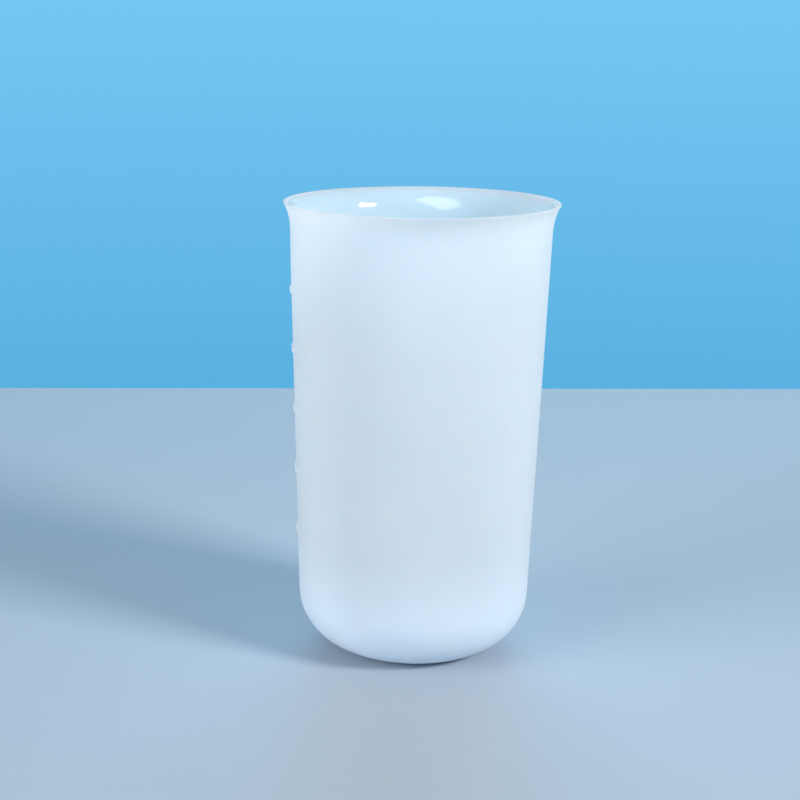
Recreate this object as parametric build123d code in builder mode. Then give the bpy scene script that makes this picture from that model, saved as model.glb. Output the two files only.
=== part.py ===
from build123d import *
import math
import os

# Resin mixing cup: one soft silicone moulding with a raised measuring scale on its wall.
# Millimetres, +Z up. The origin is the centre of the flat foot. The scale faces -X.

# Outside of the cup. The wall is a cone and the lip leans out past it. The wall starts to bend a
# short run below the corner that the two would make.
cup_height = 92.0
rim_diameter = 55.0
foot_diameter = 46.8  # where the wall's cone would meet the foot if the base had no round
base_round = 11.8
lip_reach = 1.3
lip_lean = 32.0  # degrees from upright
lip_thickness = 1.3
lip_bevel = 0.45
flare_run = 3.5

# Inside of the cup: a mouth that leans as the lip does, then a cone, then a bowl, which is half a
# ball resting on the floor
wall_thickness = 2.3
floor_thickness = 3.5

# Raised scale: marks at equal steps of volume, every second one long. All start in line at the
# left. The top mark shows 100 ml and stands this far below the rim.
full_mark_drop = 18.0
mark_count = 10
ml_per_mark = 10
mark_width = 1.1
mark_rise = 0.3
long_mark_length = 11.0
short_mark_length = 4.0

halvings = 50  # steps of the search for a mark's level
mm3_in_ml = 1000

# Slopes, as radius gained per millimetre of height, and the sizes that follow from those above
rim_radius = rim_diameter / 2
foot_radius = foot_diameter / 2
wall_slope = (rim_radius - lip_reach - foot_radius) / cup_height
wall_lean = math.atan(wall_slope)
lip_slope = math.tan(math.radians(lip_lean))


def outer_radius(level):
    """Radius of the outside wall's cone at a level."""
    return foot_radius + wall_slope * level


def inner_radius(level):
    """Radius of the inside wall's cone at a level."""
    return outer_radius(level) - wall_thickness / math.cos(wall_lean)


def lip_outer_radius(level):
    """Radius of the lip's outside face at a level, also where that face is carried on downwards."""
    return rim_radius - lip_slope * (cup_height - lip_bevel - level)


def lip_inner_radius(level):
    """Radius of the lip's inside face, which is the mouth, at a level."""
    return lip_outer_radius(level) - lip_thickness / math.cos(math.radians(lip_lean))


def corner_level(lip_radius, wall_radius):
    """Level at which a face of the lip meets a face of the wall, given each one's radius by level."""
    return (wall_radius(0) - lip_radius(0)) / (lip_slope - wall_slope)


outside_corner = corner_level(lip_outer_radius, outer_radius)
inside_corner = corner_level(lip_inner_radius, inner_radius)
bend_start = outside_corner - flare_run

# The bowl's ball touches the inside cone all round, at the level bowl_top
bowl_radius = inner_radius(floor_thickness) * math.cos(wall_lean) / (1 - math.sin(wall_lean))
bowl_centre = floor_thickness + bowl_radius
bowl_top = bowl_centre - bowl_radius * math.sin(wall_lean)


def volume_below(level):
    """Volume of the space inside up to a level: a cap of the ball, then a slice of the cone."""
    cap_height = min(level, bowl_top) - floor_thickness
    cap = math.pi * cap_height**2 * (bowl_radius - cap_height / 3)
    slice_top = max(level, bowl_top)
    low, high = inner_radius(bowl_top), inner_radius(slice_top)
    return cap + math.pi * (slice_top - bowl_top) * (low**2 + low * high + high**2) / 3


def level_of(volume):
    """Level up to which the space inside holds a volume, found by halving the cup's height."""
    low, high = floor_thickness, cup_height
    for _ in range(halvings):
        middle = (low + high) / 2
        if volume_below(middle) < volume:
            low = middle
        else:
            high = middle
    return high


# Body: the outside and inside outlines, joined over the lip, turned about the axis
with BuildPart() as cup_body:
    with BuildSketch(Plane.XZ):
        with BuildLine():
            outside = FilletPolyline(
                (0, 0),
                (foot_radius, 0),
                (outer_radius(bend_start), bend_start),
                radius=base_round,
            )
            flare = Bezier(
                outside @ 1,
                (outer_radius(outside_corner), outside_corner),
                (rim_radius, cup_height - lip_bevel),
            )
            inside = Polyline(
                flare @ 1,
                (rim_radius - lip_bevel, cup_height),
                (lip_inner_radius(cup_height), cup_height),
                (inner_radius(inside_corner), inside_corner),
                (inner_radius(bowl_top), bowl_top),
            )
            bowl = TangentArc(inside @ 1, (0, floor_thickness), tangent=inside % 1)
            Line(bowl @ 1, outside @ 0)
        make_face()
    revolve(axis=Axis.Z)

# Marks: bars that lie on the wall's cone, each turned about the axis from the scale's left end
full_volume = volume_below(cup_height - full_mark_drop)
levels = [level_of(full_volume * step / mark_count) for step in range(1, mark_count + 1)]
marks = {}
for step, level in enumerate(levels, start=1):
    mark_length = short_mark_length if step % 2 else long_mark_length
    left_turn = math.degrees(long_mark_length / 2 / outer_radius(level))
    left_end = Vector(-1, 0, 0).rotate(Axis.Z, -left_turn)
    bar_foot = level - mark_width / 2
    bar_top = level + mark_width / 2
    with BuildPart() as mark:
        with BuildSketch(Plane((0, 0, 0), left_end, left_end.rotate(Axis.Z, -90))):
            with BuildLine():
                Polyline(
                    (outer_radius(bar_foot), bar_foot),
                    (outer_radius(bar_foot) + mark_rise, bar_foot),
                    (outer_radius(bar_top) + mark_rise, bar_top),
                    (outer_radius(bar_top), bar_top),
                    close=True,
                )
            make_face()
        revolve(axis=Axis.Z, revolution_arc=math.degrees(mark_length / outer_radius(level)))
    marks[f"mark_{step * ml_per_mark}_ml"] = mark

print(f"volume under the full mark: {full_volume / mm3_in_ml:.1f} ml")
print("mark levels:", [round(level, 2) for level in levels])
print(f"bowl radius {bowl_radius:.2f}, top of the bowl {bowl_top:.2f}")

os.makedirs("parts", exist_ok=True)
cup_body.part.label = "cup_body"
export_step(cup_body.part, "parts/cup_body.step")
for name, mark in marks.items():
    mark.part.label = name
    export_step(mark.part, f"parts/{name}.step")
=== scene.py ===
import math

import bpy
import numpy as np
from mathutils import Euler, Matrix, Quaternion, Vector


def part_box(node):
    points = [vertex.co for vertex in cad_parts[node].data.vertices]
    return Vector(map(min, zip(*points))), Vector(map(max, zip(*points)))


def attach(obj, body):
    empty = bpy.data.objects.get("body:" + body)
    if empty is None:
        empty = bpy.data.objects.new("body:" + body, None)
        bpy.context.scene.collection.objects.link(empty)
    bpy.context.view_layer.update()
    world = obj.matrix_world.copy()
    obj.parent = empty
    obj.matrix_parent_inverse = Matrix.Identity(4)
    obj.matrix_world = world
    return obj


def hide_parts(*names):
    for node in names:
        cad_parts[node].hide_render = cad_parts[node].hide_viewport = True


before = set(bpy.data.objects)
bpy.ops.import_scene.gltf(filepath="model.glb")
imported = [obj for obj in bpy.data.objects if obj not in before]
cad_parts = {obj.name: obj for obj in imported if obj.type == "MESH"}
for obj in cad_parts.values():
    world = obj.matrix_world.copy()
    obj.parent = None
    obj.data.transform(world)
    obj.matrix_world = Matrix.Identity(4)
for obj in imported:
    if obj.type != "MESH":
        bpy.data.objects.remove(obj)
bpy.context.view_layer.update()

# Resin mixing cup in milky silicone, in metres, +Z up, the scale towards -X and the camera at -Y
MM = 0.001

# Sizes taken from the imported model
body_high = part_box("cup_body")[1]
cup_height = body_high.z
rim_radius = body_high.x

# Outside of the cup: a cone and a lip that leans out past it, joined by a smooth bend
foot_radius = 23.4 * MM  # where the wall's cone would meet the foot if the base had no round
base_round = 11.8 * MM
lip_reach = 1.3 * MM
lip_lean = math.radians(32)
mouth_lean = math.radians(60)
lip_thickness = 0.6 * MM
lip_outer_round = 0.2 * MM
lip_inner_round = 0.4 * MM
flare_run = 3.6 * MM  # height of the bend outside, below the corner that cone and lip would make
mouth_run = 6.5 * MM  # the same inside

# Inside of the cup: a mouth that leans further than the lip, a cone, and a bowl that is half a ball
wall_thickness = 2.3 * MM
floor_thickness = 3.5 * MM
gloss_depth = 1.4 * MM  # depth below the rim at which the inside reaches its full gloss
mouth_depth = 26 * MM  # depth below the rim over which the mouth's painted shade fades into the bowl's painted light

# The moulding is soft: its wall is a little out of round, and its rim dips and bends in at -X
unevenness = 0.05 * MM
oval_phase = 0.7  # in radians, as the next
lobe_phase = 2.0
lobe_twist = 22 * MM  # height over which the three lobes turn by a third of a radian
even_foot = 15 * MM  # level up to which the unevenness grows from nothing
even_radius_share = 1 / 3  # share of the rim's radius within which foot and bowl stay round
rim_dip = 0.45 * MM
rim_bend = 0.2 * MM
dip_start = 76 * MM

# Raised scale
mark_step_ml = 10
full_ml = 100
relief_edge = 0.13 * MM  # half the width of the soft edge of a mark or numeral
mark_corner = 0.2 * MM
mark_rise = 0.3 * MM
numeral_height = 4.0 * MM
numeral_stroke = 0.65 * MM
numeral_gap = 0.9 * MM
numeral_rise = 0.28 * MM
numeral_space_share = 0.24

# Numerals as strokes in shares of their height: lines (x, y, x, y) and arcs (x, y, radius, from, to)
numeral_shares = {
    "0": {
        "width": 0.6,
        "lines": [(0, 0.3, 0, 0.7), (0.6, 0.3, 0.6, 0.7)],
        "arcs": [(0.3, 0.7, 0.3, 0, 180), (0.3, 0.3, 0.3, 180, 360)],
    },
    "1": {
        "width": 0.38,
        "lines": [(0.3, 0, 0.3, 1), (0.3, 1, 0.06, 0.78)],
        "arcs": [],
    },
    "2": {
        "width": 0.6,
        "lines": [(0.507, 0.483, 0, 0), (0, 0, 0.6, 0)],
        "arcs": [(0.3, 0.7, 0.3, -46, 180)],
    },
    "4": {
        "width": 0.6,
        "lines": [(0.45, 0, 0.45, 1), (0.45, 1, 0, 0.3), (0, 0.3, 0.62, 0.3)],
        "arcs": [],
    },
    "6": {
        "width": 0.6,
        "lines": [],
        "arcs": [(0.3, 0.3, 0.3, 0, 360), (0.75, 0.3, 0.75, 111, 180)],
    },
    "8": {
        "width": 0.56,
        "lines": [],
        "arcs": [(0.28, 0.28, 0.28, 0, 360), (0.28, 0.78, 0.22, 0, 360)],
    },
}

# Mesh steps
fine_step = 0.16 * MM  # across the scale
coarse_step = 1.5 * MM
inside_step = 3 * MM  # up the cone inside
scale_margin = 0.48 * MM  # wall beyond the scale's ends that has fine steps too
coarse_turn = math.radians(4)
arc_turn = math.radians(5)
bend_points = 12
foot_ring_shares = (0.3, 0.6, 0.85)

# Silicone: its milky tint outside; inside, a darker, bluer tint at the mouth that is painted shade
# and painted blue light, fading into a lighter tint that is painted light in the bowl; a lighter
# tint on the raised scale that is a painted highlight; its finish, and how far light scatters
outside_tint = (0.725, 0.825, 0.945)
# painted shade and painted blue light: the inside of the mouth is darker and bluer than the outside
mouth_shaded_tint = (0.545, 0.745, 0.925)
# painted light: the bowl deep inside is lighter than the outside, standing in for light that hardly
# reaches it
bowl_lit_tint = (0.84, 0.89, 0.95)
raised_highlight_tint = (0.86, 0.925, 0.98)  # painted highlight: the raised marks and numerals are lighter, as if catching light
outside_roughness = 0.42
inside_roughness = 0.025
raised_roughness_share = 0.65
patch_shares = (0.85, 1.15)  # of the roughness above, from the smoothest patch to the roughest
cloud_depth = 0.03  # share by which a cloud darkens the tint
outside_grain = 0.02 * MM
inside_grain = 0.002 * MM
grain_strength = 0.4  # of the grain's bumps, whose heights are the two above
silicone_ior = 1.42
scatter_depth = 8.0 * MM
scatter_shares = (1.0, 0.9, 0.8)  # of the depth, in red, green and blue

# Noise textures, as cycles per metre and octaves of detail, and where most of their values lie
cloud_noise = (60, 2)
patch_noise = (260, 4)
grain_noise = (5200, 2)
noise_range = (0.3, 0.7)

# Stage: a pale table, and a blue backdrop whose colour is given at an angle below level and at
# level, as the camera sees it
table_half = 0.8
table_edge = 0.228
table_turn = math.radians(5.2)
table_colour = (0.47, 0.54, 0.615)
table_roughness = 0.45
backdrop_low = math.radians(-13.3)
backdrop_low_colour = (0.10, 0.44, 0.75)
backdrop_high_colour = (0.175, 0.56, 0.90)
fill_colour = (0.55, 0.8, 1.0)
fill_strength = 0.09

# Lamps: azimuth from the front to the right, elevation, distance, width, height, turn and power, in
# degrees, metres and watts. Glossy surfaces mirror the first two only, and the window is there for
# its reflection alone.
lamps = {
    "key": (59, 30, 0.9, 0.25, 0.14, 0, 6.6),
    "window": (-20, 40, 0.9, 0.40, 0.58, -38, 4.8),
    "left": (-58, 15, 0.9, 0.6, 0.6, 0, 6.1),
    "right": (100, 20, 0.9, 0.6, 0.6, 0, 0.3),
    "behind": (180, 20, 1.0, 0.8, 0.5, 0, 5.7),
    "above": (180, 50, 0.9, 0.6, 0.5, 0, 0.3),
    "top": (0, 89, 0.9, 0.6, 0.6, 0, 0.6),
}
lamp_colours = {"behind": (0.5, 0.79, 1.0)}  # the others are white
mirrored_lamps = ("key", "window")
reflection_lamps = ("window",)

# Camera: in front of the cup and above its rim, with lens and sensor in Blender's millimetres
camera_lens = 72
camera_sensor = 36
camera_place = (0, -0.3159, 0.1283)
camera_pitch = math.radians(13.7)  # down from level
camera_heading = math.radians(0.64)
camera_roll = math.radians(1.13)

# Slopes and places that follow from the sizes above, a place as (radius from the axis, level)
wall_slope = (rim_radius - lip_reach - foot_radius) / cup_height
wall_lean = math.atan(wall_slope)
lip_land = lip_thickness - lip_outer_round - lip_inner_round  # between the rounds' centres
lip_shift = (lip_outer_round - lip_inner_round) * math.sin(lip_lean) - lip_land
lip_outer_centre = (rim_radius - lip_outer_round, cup_height - lip_outer_round)
lip_inner_centre = (
    lip_outer_centre[0] + lip_shift / math.cos(lip_lean),
    cup_height - lip_inner_round,
)


def outer_radius(level):
    """Radius of the outside wall's cone at a level."""
    return foot_radius + wall_slope * level


def inner_radius(level):
    """Radius of the inside wall's cone at a level."""
    return outer_radius(level) - wall_thickness / math.cos(wall_lean)


def read_marks():
    """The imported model's marks, each with its level and its two ends.

    The ends are measured round the wall from the scale's middle. A long mark reaches past the
    middle, and has a number.
    """
    marks = []
    for ml in range(mark_step_ml, full_ml + 1, mark_step_ml):
        low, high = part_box(f"mark_{ml}_ml")
        level = (low.z + high.z) / 2
        radius = outer_radius(level)
        right = -radius * math.asin(low.y / radius)
        mark = {
            "name": f"mark_{ml}_ml",
            "number": str(ml) if right > 0 else "",
            "level": level,
            "width": high.z - low.z,
            "left": -radius * math.asin(high.y / radius),
            "right": right,
        }
        marks.append(mark)
    return marks


def line_distance(x, y, line):
    """Distance of points from a straight stroke."""
    x0, y0, x1, y1 = line
    dx, dy = x1 - x0, y1 - y0
    along = np.clip(((x - x0) * dx + (y - y0) * dy) / (dx * dx + dy * dy), 0, 1)
    return np.hypot(x - x0 - along * dx, y - y0 - along * dy)


def arc_distance(x, y, stroke):
    """Distance of points from a curved stroke."""
    cx, cy, radius, start, end = stroke
    turn = np.degrees(np.arctan2(y - cy, x - cx))
    beside = np.mod(turn - start, 360) <= end - start
    ends = []
    for angle in (math.radians(start), math.radians(end)):
        end_x = cx + radius * math.cos(angle)
        end_y = cy + radius * math.sin(angle)
        ends.append(np.hypot(x - end_x, y - end_y))
    return np.where(beside, np.abs(np.hypot(x - cx, y - cy) - radius), np.minimum(*ends))


def number_width(text):
    """Width of a number, as a share of its height."""
    widths = [numeral_shares[digit]["width"] for digit in text]
    return sum(widths) + numeral_space_share * (len(text) - 1)


def number_distance(u, v, text, right, level):
    """Distance of points on the wall from a number's strokes: right is its right-hand edge."""
    body = numeral_height - numeral_stroke
    x = (u - right + numeral_stroke / 2) / body + number_width(text)
    y = (v - level) / body + 0.5
    distance = np.full(u.shape, np.inf)
    for digit in text:
        glyph = numeral_shares[digit]
        for line in glyph["lines"]:
            distance = np.minimum(distance, line_distance(x, y, line))
        for stroke in glyph["arcs"]:
            distance = np.minimum(distance, arc_distance(x, y, stroke))
        x = x - glyph["width"] - numeral_space_share
    return distance * body


def bar_distance(u, v, mark):
    """Distance of points on the wall from a mark's outline, a bar with round corners."""
    half = (mark["right"] - mark["left"]) / 2 - mark_corner
    dx = np.abs(u - (mark["left"] + mark["right"]) / 2) - half
    dy = np.abs(v - mark["level"]) - mark["width"] / 2 + mark_corner
    beyond = np.hypot(np.maximum(dx, 0), np.maximum(dy, 0))
    return beyond + np.minimum(np.maximum(dx, dy), 0) - mark_corner


def step_up(distance):
    """1 well inside an outline, 0 outside it, with a soft edge between."""
    t = np.clip(0.5 - distance / (2 * relief_edge), 0, 1)
    return t * t * (3 - 2 * t)


def relief(u, v):
    """Height of the raised scale at points of the wall: u runs round it to the right, v is level."""
    height = np.zeros(u.shape)
    for mark in marks:
        height = np.maximum(height, mark_rise * step_up(bar_distance(u, v, mark)))
        if mark["number"]:
            edge = mark["left"] - numeral_gap
            strokes = number_distance(u, v, mark["number"], edge, mark["level"])
            height = np.maximum(height, numeral_rise * step_up(strokes - numeral_stroke / 2))
    return height


def arc(centre, radius, start, end):
    """Points of an arc as (radius from the axis, level), with angles from the outward direction."""
    count = max(2, math.ceil(abs(end - start) / arc_turn) + 1)
    angles = np.linspace(start, end, count)
    return [(centre[0] + radius * math.cos(a), centre[1] + radius * math.sin(a)) for a in angles]


def bend(start, corner, end):
    """Points of a smooth bend between two straight stretches, given the corner that they make."""
    points = []
    for t in np.linspace(0, 1, bend_points):
        a, b, c = (1 - t) ** 2, 2 * t * (1 - t), t * t
        points.append(tuple(a * start[i] + b * corner[i] + c * end[i] for i in range(2)))
    return points


def flare(side):
    """The bend from a wall face to the same face of the lip: side is 1 outside, -1 inside."""
    if side > 0:
        wall, run, lean = outer_radius, flare_run, lip_lean
        centre, radius = lip_outer_centre, lip_outer_round
    else:
        wall, run, lean = inner_radius, mouth_run, mouth_lean
        centre, radius = lip_inner_centre, lip_inner_round
    lip_end = (
        centre[0] + side * radius * math.cos(lean),
        centre[1] - side * radius * math.sin(lean),
    )
    lip_at_zero = lip_end[0] - math.tan(lean) * lip_end[1]
    corner_level = (wall(0) - lip_at_zero) / (math.tan(lean) - wall_slope)
    start_level = corner_level - run
    return bend((wall(start_level), start_level), (wall(corner_level), corner_level), lip_end)


def wall_levels(start, end):
    """Levels of the mesh's rows up the outside wall: close together across marks and numerals."""
    reaches = []
    for mark in marks:
        reach = numeral_height / 2 if mark["number"] else mark["width"] / 2
        reaches.append((mark["level"] - reach - relief_edge, mark["level"] + reach + relief_edge))
    levels = [start]
    while levels[-1] < end:
        here = levels[-1]
        near = any(low <= here <= high for low, high in reaches)
        ahead = [low - here for low, _ in reaches if low > here] + [end - here]
        step = fine_step if near else min(coarse_step, max(min(ahead), fine_step))
        levels.append(here + step)
    return levels[:-1] + [end]


def columns():
    """Azimuths of the mesh's columns: close together across the scale, which is centred on -X."""
    numbers_width = max(number_width(mark["number"]) for mark in marks if mark["number"])
    numbers_left = scale_left - numeral_gap - numbers_width * numeral_height
    radius = outer_radius(cup_height / 2)
    start = math.pi + (numbers_left - scale_margin) / radius
    end = math.pi + (scale_right + scale_margin) / radius
    fine = np.linspace(start, end, math.ceil((end - start) * radius / fine_step))
    rest = 2 * math.pi - (end - start)
    coarse = np.linspace(end, end + rest, math.ceil(rest / coarse_turn) + 1)[1:-1]
    return np.concatenate([fine, coarse])


def outline():
    """The cup's outline from the foot's centre, over the lip, to the middle of the bowl.

    Each point is (radius, level, is inside). The inside starts below the lip's round.
    """
    round_centre = outer_radius(base_round) - base_round / math.cos(wall_lean)
    foot = [(round_centre * share, 0.0) for share in foot_ring_shares]
    base = arc((round_centre, base_round), base_round, -math.pi / 2, -wall_lean)
    outside_flare = flare(1)
    wall_outside = [
        (outer_radius(level), level) for level in wall_levels(base[-1][1], outside_flare[0][1])
    ]
    lip_outside = arc(lip_outer_centre, lip_outer_round, -lip_lean, math.pi / 2)
    lip_inside = arc(lip_inner_centre, lip_inner_round, math.pi / 2, math.pi - mouth_lean)
    inside_flare = flare(-1)[::-1]
    ball = inner_radius(floor_thickness) * math.cos(wall_lean) / (1 - math.sin(wall_lean))
    bowl = arc((0, floor_thickness + ball), ball, -wall_lean, -math.pi / 2)
    cone_top, cone_foot = inside_flare[-1][1], bowl[0][1]
    steps = math.ceil((cone_top - cone_foot) / inside_step)
    wall_inside = [
        (inner_radius(level), level) for level in np.linspace(cone_top, cone_foot, steps)
    ]
    outside = foot + base[:-1] + wall_outside + outside_flare[1:-1] + lip_outside + lip_inside
    inside = inside_flare[1:-1] + wall_inside[:-1] + bowl[:-1]
    return [(r, z, False) for r, z in outside] + [(r, z, True) for r, z in inside]


def soften(radius, level, turn):
    """The soft moulding's shape: a slow wave, only ever inwards, and the dip of the rim at -X."""
    oval = np.sin(2 * turn + oval_phase)
    lobes = np.sin(3 * turn + level / lobe_twist + lobe_phase)
    wave = (2 + oval + lobes) / 4
    fade = np.clip(level / even_foot, 0, 1) * (radius > even_radius_share * rim_radius)
    rim = np.clip((level - dip_start) / (cup_height - dip_start), 0, 1)
    sag = rim**2 * (1 - np.cos(turn)) / 2
    return radius - unevenness * wave * fade - rim_bend * sag, level - rim_dip * sag


def grid_faces(rows, count):
    """Faces of the cup's mesh: its grid of quads, then a fan round each of the two middle points."""
    row = np.arange(rows - 1)[:, None] * count
    column = np.arange(count)[None, :]
    beside = (column + 1) % count
    corners = [row + column, row + beside, row + count + beside, row + count + column]
    faces = np.stack(corners, axis=-1).reshape(-1, 4).tolist()
    foot_middle, bowl_middle = rows * count, rows * count + 1
    last = (rows - 1) * count
    sides = list(zip(column[0].tolist(), beside[0].tolist()))
    faces += [(foot_middle, there, here) for here, there in sides]
    faces += [(bowl_middle, last + here, last + there) for here, there in sides]
    return faces


def add_share(mesh, name, grid, middles):
    """Keeps a share from 0 to 1 on the mesh's points: the grid's, then the two middle points'."""
    values = np.concatenate([grid.reshape(-1), middles])
    mesh.attributes.new(name, "FLOAT", "POINT").data.foreach_set("value", values.tolist())


def build_cup():
    """The whole cup as one closed mesh: rows of the outline, each turned through all columns."""
    radii, levels, inside = (np.array(values) for values in zip(*outline()))
    turn = columns()[None, :]
    radius = np.repeat(radii[:, None], turn.size, axis=1)
    level = np.repeat(levels[:, None], turn.size, axis=1)
    raised = relief((turn - math.pi) * outer_radius(level), level)
    raised[inside] = 0
    radius, level = soften(radius + raised, level, turn)

    grid = np.stack([radius * np.cos(turn), radius * np.sin(turn), level], axis=-1)
    middles = [(0, 0, 0), (0, 0, floor_thickness)]
    mesh = bpy.data.meshes.new("cup_moulding")
    mesh.from_pydata(grid.reshape(-1, 3).tolist() + middles, [], grid_faces(*radius.shape))
    mesh.polygons.foreach_set("use_smooth", [True] * len(mesh.polygons))
    depth = cup_height - level
    gloss = np.where(inside[:, None], np.clip(depth / gloss_depth, 0, 1), 0)
    add_share(mesh, "gloss", gloss, (0, 1))
    # how far down the inside the mouth's painted shade has faded into the bowl's painted light
    add_share(mesh, "depth", np.clip(depth / mouth_depth, 0, 1), (1, 1))
    add_share(mesh, "raised", raised / mark_rise, (0, 0))
    mesh.update()
    cup = bpy.data.objects.new("cup_moulding", mesh)
    bpy.context.scene.collection.objects.link(cup)
    return cup


def share(tree, name):
    """A share kept on the mesh's points."""
    node = tree.nodes.new("ShaderNodeAttribute")
    node.attribute_name = name
    return node.outputs["Fac"]


def noise(tree, coordinates, scale, detail):
    """A noise texture in the object's own space, with its scale in cycles per metre."""
    node = tree.nodes.new("ShaderNodeTexNoise")
    node.inputs["Scale"].default_value = scale
    node.inputs["Detail"].default_value = detail
    tree.links.new(coordinates, node.inputs["Vector"])
    return node.outputs["Fac"]


def between(tree, value, low, high, source=(0, 1)):
    """A number that goes from low to high as a value goes over its source range."""
    node = tree.nodes.new("ShaderNodeMapRange")
    node.inputs["From Min"].default_value, node.inputs["From Max"].default_value = source
    node.inputs["To Min"].default_value = low
    node.inputs["To Max"].default_value = high
    tree.links.new(value, node.inputs["Value"])
    return node.outputs["Result"]


def product(tree, first, second):
    """The product of two numbers."""
    node = tree.nodes.new("ShaderNodeMath")
    node.operation = "MULTIPLY"
    tree.links.new(first, node.inputs[0])
    tree.links.new(second, node.inputs[1])
    return node.outputs["Value"]


def blend(tree, kind, factor, first, second):
    """A colour mixed by a factor: each is given as numbers or as another node's output."""
    node = tree.nodes.new("ShaderNodeMix")
    node.data_type = "RGBA"
    node.blend_type = kind
    sockets = {socket.identifier: socket for socket in node.inputs}
    for identifier, value in (("Factor_Float", factor), ("A_Color", first), ("B_Color", second)):
        if isinstance(value, bpy.types.NodeSocket):
            tree.links.new(value, sockets[identifier])
        else:
            sockets[identifier].default_value = value
    return next(socket for socket in node.outputs if socket.identifier == "Result_Color")


def silicone():
    """Milky translucent silicone: satin outside, glossy inside, faintly clouded, finely grained,
    with painted shade and blue light at the mouth inside, painted light in the bowl and painted
    highlights on the raised scale.
    """
    material = bpy.data.materials.new("milky_silicone")
    material.use_nodes = True
    tree = material.node_tree
    shader = tree.nodes["Principled BSDF"]
    coordinates = tree.nodes.new("ShaderNodeTexCoord").outputs["Object"]
    gloss, raised = share(tree, "gloss"), share(tree, "raised")

    # Painted light inside: the mouth's darker, bluer painted shade fades with depth into the bowl's
    # lighter painted light, and the gloss share puts it on the inside only
    inside = blend(tree, "MIX", share(tree, "depth"), (*mouth_shaded_tint, 1), (*bowl_lit_tint, 1))
    tint = blend(tree, "MIX", gloss, (*outside_tint, 1), inside)
    # Painted highlight: the raised scale is lightened as if it caught the light
    tint = blend(tree, "MIX", raised, tint, (*raised_highlight_tint, 1))
    cloud = between(tree, noise(tree, coordinates, *cloud_noise), 1 - cloud_depth, 1, noise_range)
    tree.links.new(blend(tree, "MULTIPLY", 1.0, tint, cloud), shader.inputs["Base Color"])

    finish = between(tree, gloss, outside_roughness, inside_roughness)
    finish = product(tree, finish, between(tree, raised, 1, raised_roughness_share))
    patches = between(tree, noise(tree, coordinates, *patch_noise), *patch_shares, noise_range)
    tree.links.new(product(tree, finish, patches), shader.inputs["Roughness"])

    bump = tree.nodes.new("ShaderNodeBump")
    bump.inputs["Strength"].default_value = grain_strength
    tree.links.new(between(tree, gloss, outside_grain, inside_grain), bump.inputs["Distance"])
    tree.links.new(noise(tree, coordinates, *grain_noise), bump.inputs["Height"])
    tree.links.new(bump.outputs["Normal"], shader.inputs["Normal"])

    shader.inputs["IOR"].default_value = silicone_ior
    shader.inputs["Subsurface Weight"].default_value = 1.0
    shader.inputs["Subsurface Radius"].default_value = scatter_shares
    shader.inputs["Subsurface Scale"].default_value = scatter_depth
    return material


def plain(name, colour, roughness):
    """A plain surface of one colour and one roughness."""
    material = bpy.data.materials.new(name)
    material.use_nodes = True
    shader = material.node_tree.nodes["Principled BSDF"]
    shader.inputs["Base Color"].default_value = (*colour, 1)
    shader.inputs["Roughness"].default_value = roughness
    return material


def build_floor():
    """A pale table top that ends behind the cup, at an edge turned a little from the camera."""
    swing = table_half * math.tan(table_turn)
    mesh = bpy.data.meshes.new("floor")
    corners = [
        (-table_half, -table_half, 0),
        (table_half, -table_half, 0),
        (table_half, table_edge + swing, 0),
        (-table_half, table_edge - swing, 0),
    ]
    mesh.from_pydata(corners, [], [(0, 1, 2, 3)])
    floor = bpy.data.objects.new("floor", mesh)
    bpy.context.scene.collection.objects.link(floor)
    floor.data.materials.append(plain("pale_table", table_colour, table_roughness))


def around(azimuth, elevation, distance):
    """A place round the cup's middle: azimuth 0 is in front, 90 to the right."""
    a, e = math.radians(azimuth), math.radians(elevation)
    return (
        distance * math.cos(e) * math.sin(a),
        -distance * math.cos(e) * math.cos(a),
        cup_height / 2 + distance * math.sin(e),
    )


def area_light(name, place, size, power, turn):
    """A soft rectangular lamp that faces the cup's middle, turned about that line in degrees."""
    lamp = bpy.data.lights.new(name, "AREA")
    lamp.shape = "RECTANGLE"
    lamp.size, lamp.size_y = size
    lamp.energy = power
    lamp.color = lamp_colours.get(name, (1, 1, 1))
    lamp_object = bpy.data.objects.new(name, lamp)
    bpy.context.scene.collection.objects.link(lamp_object)
    lamp_object.location = place
    away = (Vector(place) - Vector((0, 0, cup_height / 2))).to_track_quat("Z", "Y")
    lamp_object.rotation_mode = "QUATERNION"
    lamp_object.rotation_quaternion = away @ Quaternion((0, 0, 1), math.radians(turn))
    return lamp_object


def build_lights():
    """The lamps round and above the cup: some only light it, and the window is only mirrored."""
    for name, (azimuth, elevation, distance, width, height, turn, power) in lamps.items():
        place = around(azimuth, elevation, distance)
        lamp = area_light(name, place, (width, height), power, turn)
        lamp.visible_glossy = name in mirrored_lamps
        lamp.visible_diffuse = name not in reflection_lamps


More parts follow.
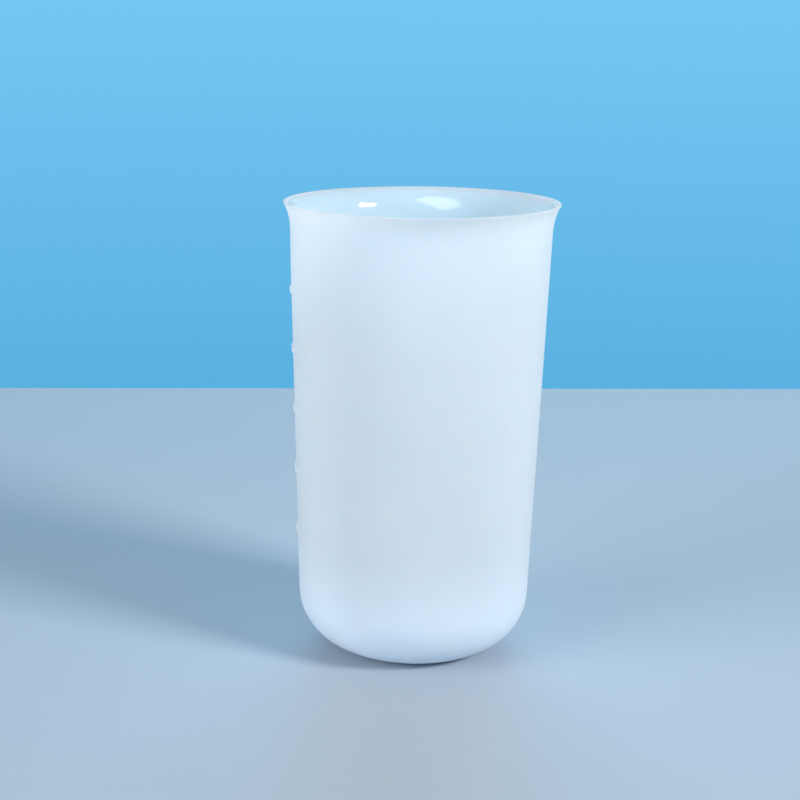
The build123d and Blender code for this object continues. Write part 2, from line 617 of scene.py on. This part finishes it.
def build_world():
    """An even fill light, and a plain blue backdrop that the camera and mirrored rays see."""
    world = bpy.data.worlds.new("studio")
    bpy.context.scene.world = world
    world.use_nodes = True
    tree = world.node_tree
    fill = tree.nodes["Background"]
    fill.inputs["Color"].default_value = (*fill_colour, 1)
    fill.inputs["Strength"].default_value = fill_strength

    direction = tree.nodes.new("ShaderNodeTexCoord").outputs["Generated"]
    parts = tree.nodes.new("ShaderNodeSeparateXYZ")
    tree.links.new(direction, parts.inputs["Vector"])
    height = between(tree, parts.outputs["Z"], 0, 1, (math.sin(backdrop_low), 0))
    colour = blend(tree, "MIX", height, (*backdrop_low_colour, 1), (*backdrop_high_colour, 1))
    backdrop = tree.nodes.new("ShaderNodeBackground")
    tree.links.new(colour, backdrop.inputs["Color"])

    path = tree.nodes.new("ShaderNodeLightPath")
    seen, *others = [path.outputs[f"Is {kind} Ray"] for kind in ("Camera", "Glossy", "Transmission")]
    for ray in others:
        either = tree.nodes.new("ShaderNodeMath")
        either.operation = "MAXIMUM"
        tree.links.new(seen, either.inputs[0])
        tree.links.new(ray, either.inputs[1])
        seen = either.outputs["Value"]
    mix = tree.nodes.new("ShaderNodeMixShader")
    tree.links.new(seen, mix.inputs["Fac"])
    tree.links.new(fill.outputs["Background"], mix.inputs[1])
    tree.links.new(backdrop.outputs["Background"], mix.inputs[2])
    tree.links.new(mix.outputs["Shader"], tree.nodes["World Output"].inputs["Surface"])


def build_camera():
    """The photograph's viewpoint, looking a little down at the cup."""
    camera_data = bpy.data.cameras.new("camera")
    camera_data.lens = camera_lens
    camera_data.sensor_width = camera_sensor
    camera = bpy.data.objects.new("camera", camera_data)
    bpy.context.scene.collection.objects.link(camera)
    camera.location = camera_place
    look = Euler((math.pi / 2 - camera_pitch, 0, camera_heading)).to_quaternion()
    camera.rotation_mode = "QUATERNION"
    camera.rotation_quaternion = look @ Quaternion((0, 0, 1), camera_roll)
    bpy.context.scene.camera = camera


marks = read_marks()
scale_left = min(mark["left"] for mark in marks)
scale_right = max(mark["right"] for mark in marks)

cup = build_cup()
cup.data.materials.append(silicone())
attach(cup, "root")
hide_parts("cup_body", *(mark["name"] for mark in marks))

build_floor()
build_lights()
build_world()
build_camera()
bpy.context.scene.view_settings.view_transform = "Standard"
